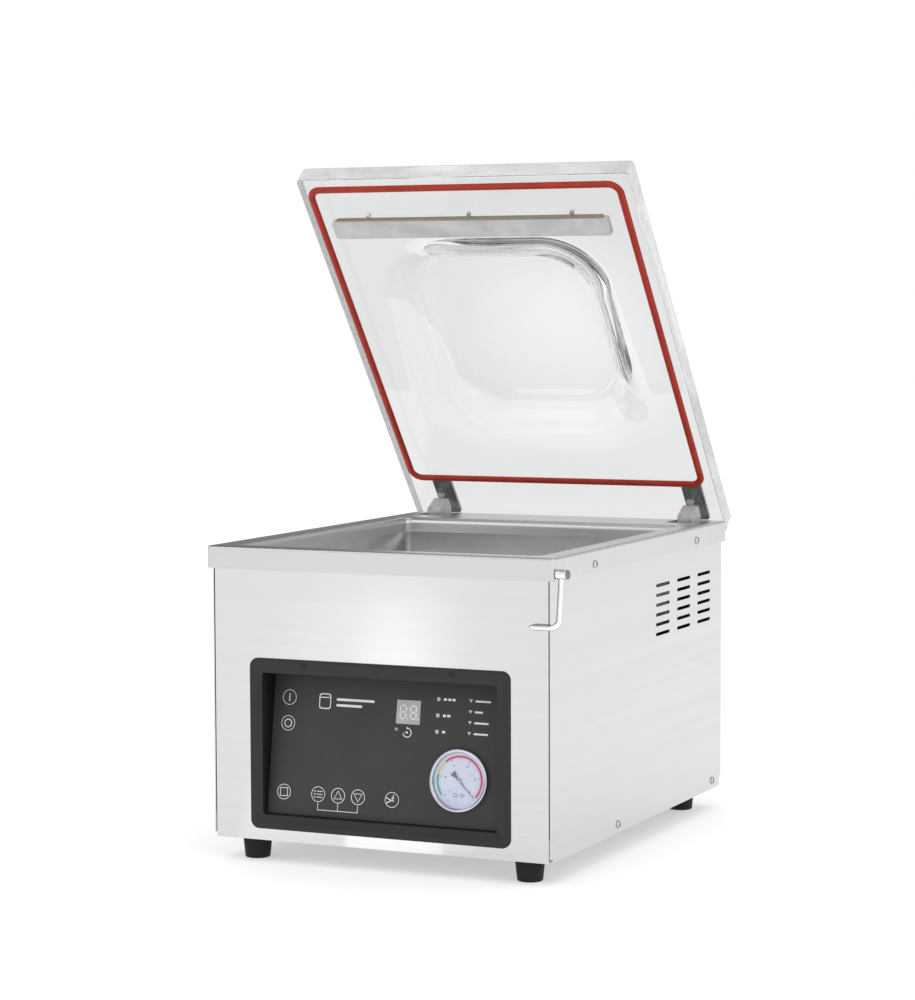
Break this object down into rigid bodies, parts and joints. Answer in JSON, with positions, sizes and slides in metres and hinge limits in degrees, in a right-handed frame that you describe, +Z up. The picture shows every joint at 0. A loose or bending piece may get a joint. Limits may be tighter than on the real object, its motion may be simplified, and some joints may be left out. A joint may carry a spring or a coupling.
{
  "type": "vacuum packing machine",
  "caption": "Tabletop chamber vacuum packer: steel housing, deep vacuum chamber, sprung clear domed lid with seal, swing latch, tilted key panel and vacuum gauge.",
  "frame": {"origin": "centre of the whole object's footprint box on the surface it stands on, with the lid open and the latch hanging", "axes": "+Z up, front panel towards -Y, +X to the right of someone facing the front"},
  "size_m": [0.3536, 0.475, 0.6349],
  "materials": {
    "panel_steel": "fine brushed stainless sheet",
    "chamber_steel": "satin stainless tub",
    "tray_steel": "zinc plated sheet",
    "seal_aluminium": "milled aluminium",
    "heater_alloy": "bright resistance strip",
    "ptfe_cloth": "coated glass cloth",
    "white_polyethylene": "matt white",
    "piston_steel": "ground rod",
    "clear_acrylic": "clear polished acrylic",
    "red_silicone": "satin silicone",
    "grey_rubber": "matt silicone pad",
    "rail_brass": "dull brass strip",
    "screw_steel": "bright zinc",
    "strap_steel": "satin dark steel",
    "arm_casting": "blasted casting",
    "bracket_steel": "plain steel",
    "spring_steel": "oiled spring wire",
    "latch_steel": "satin stainless rod",
    "bezel_black": "fine grained moulding",
    "membrane_black": "satin printed film",
    "display_window": "pale grey window",
    "led_white": "diffusing windows",
    "board_green": "solder resist",
    "gauge_steel": "pressed case",
    "gauge_chrome": "polished bezel ring",
    "dial_enamel": "printed dial",
    "needle_black": "matt pointer",
    "gauge_glass": "flat window",
    "pump_aluminium": "die cast, painted",
    "motor_paint": "hammer paint",
    "black_plastic": "moulded",
    "transformer_steel": "varnished laminations",
    "valve_steel": "painted coil housings",
    "hose_rubber": "reinforced hose",
    "foot_rubber": "moulded rubber",
    "black_screw": "blackened steel"
  },
  "bodies": {
    "housing": {"front_panel": "panel_steel", "left_side_panel": "panel_steel", "right_side_panel": "panel_steel", "rear_panel": "panel_steel", "top_plate": "panel_steel", "vacuum_chamber": "chamber_steel", "suction_port": "chamber_steel", "release_fitting": "chamber_steel", "base_tray": "tray_steel", "lift_cylinders": "white_polyethylene", "hinge_shaft": "piston_steel", "cover_screws": "screw_steel", "inlet_screws": "screw_steel", "hinge_brackets": "bracket_steel", "torsion_springs": "spring_steel", "latch_pin": "latch_steel", "panel_bezel": "bezel_black", "control_plate": "membrane_black", "membrane_overlay": "membrane_black", "display_module": "display_window", "status_leds": "led_white", "control_board": "board_green", "gauge_case": "gauge_steel", "gauge_ring": "gauge_chrome", "gauge_dial": "dial_enamel", "gauge_lens": "gauge_glass", "pump_body": "pump_aluminium", "pump_motor": "motor_paint", "power_inlet": "black_plastic", "transformer": "transformer_steel", "solenoid_valves": "valve_steel", "vacuum_hose": "hose_rubber", "rubber_feet": "foot_rubber", "bezel_screws": "black_screw"},
    "lid": {"lid_slab": "clear_acrylic", "lid_gasket": "red_silicone", "press_pad": "grey_rubber", "press_rail": "rail_brass", "press_bar_screws": "screw_steel", "hinge_strap_left": "strap_steel", "hinge_strap_right": "strap_steel", "hinge_arm_left": "arm_casting", "hinge_arm_right": "arm_casting", "hinge_screws": "screw_steel"},
    "latch": {"latch_collar": "latch_steel", "latch_rod": "latch_steel"},
    "seal_bar_unit": {"seal_bar": "seal_aluminium", "heating_strip": "heater_alloy", "ptfe_tape": "ptfe_cloth", "lift_pistons": "piston_steel"},
    "filler": {"filler_plate": "white_polyethylene"},
    "needle": {"gauge_needle": "needle_black"},
    "fan": {"motor_fan": "black_plastic"},
    "key_on": {"key_on": "membrane_black"},
    "key_off": {"key_off": "membrane_black"},
    "key_stop": {"key_stop": "membrane_black"},
    "key_menu": {"key_menu": "membrane_black"},
    "key_up": {"key_up": "membrane_black"},
    "key_down": {"key_down": "membrane_black"},
    "key_seal": {"key_seal": "membrane_black"}
  },
  "joints": [
    {"name": "lid_hinge", "type": "hinge", "parent": "housing", "child": "lid", "pos_m": [-0.0048, 0.1995, 0.27], "axis": [1, 0, 0], "range_deg": [0, 51.5], "stiffness_Nm_per_rad": 5, "springref_deg": -71.62},
    {"name": "latch_swing", "type": "hinge", "parent": "housing", "child": "latch", "pos_m": [0.1702, -0.228, 0.273], "axis": [-1, 0, 0], "range_deg": [0, 180]},
    {"name": "seal_lift", "type": "slide", "parent": "housing", "child": "seal_bar_unit", "axis": [0, 0, 1], "range_m": [0, 0.009]},
    {"name": "filler_lift", "type": "slide", "parent": "housing", "child": "filler", "axis": [0, 0, 1], "range_m": [0, 0.06]},
    {"name": "gauge_pointer", "type": "hinge", "parent": "housing", "child": "needle", "pos_m": [0.0689, -0.21866, 0.08594], "axis": [0, -0.989, 0.1478], "range_deg": [0, 270], "stiffness_Nm_per_rad": 0.002, "springref_deg": -17.19},
    {"name": "fan_spin", "type": "hinge", "parent": "housing", "child": "fan", "pos_m": [-0.0748, -0.159, 0.101], "axis": [0, 1, 0], "continuous": true},
    {"name": "key_on_press", "type": "slide", "parent": "housing", "child": "key_on", "axis": [0, 0.989, -0.1478], "range_m": [0, 0.0004], "stiffness_N_per_m": 2000, "springref_m": -0.0004},
    {"name": "key_off_press", "type": "slide", "parent": "housing", "child": "key_off", "axis": [0, 0.989, -0.1478], "range_m": [0, 0.0004], "stiffness_N_per_m": 2000, "springref_m": -0.0004},
    {"name": "key_stop_press", "type": "slide", "parent": "housing", "child": "key_stop", "axis": [0, 0.989, -0.1478], "range_m": [0, 0.0004], "stiffness_N_per_m": 2000, "springref_m": -0.0004},
    {"name": "key_menu_press", "type": "slide", "parent": "housing", "child": "key_menu", "axis": [0, 0.989, -0.1478], "range_m": [0, 0.0004], "stiffness_N_per_m": 2000, "springref_m": -0.0004},
    {"name": "key_up_press", "type": "slide", "parent": "housing", "child": "key_up", "axis": [0, 0.989, -0.1478], "range_m": [0, 0.0004], "stiffness_N_per_m": 2000, "springref_m": -0.0004},
    {"name": "key_down_press", "type": "slide", "parent": "housing", "child": "key_down", "axis": [0, 0.989, -0.1478], "range_m": [0, 0.0004], "stiffness_N_per_m": 2000, "springref_m": -0.0004},
    {"name": "key_seal_press", "type": "slide", "parent": "housing", "child": "key_seal", "axis": [0, 0.989, -0.1478], "range_m": [0, 0.0004], "stiffness_N_per_m": 2000, "springref_m": -0.0004}
  ]
}
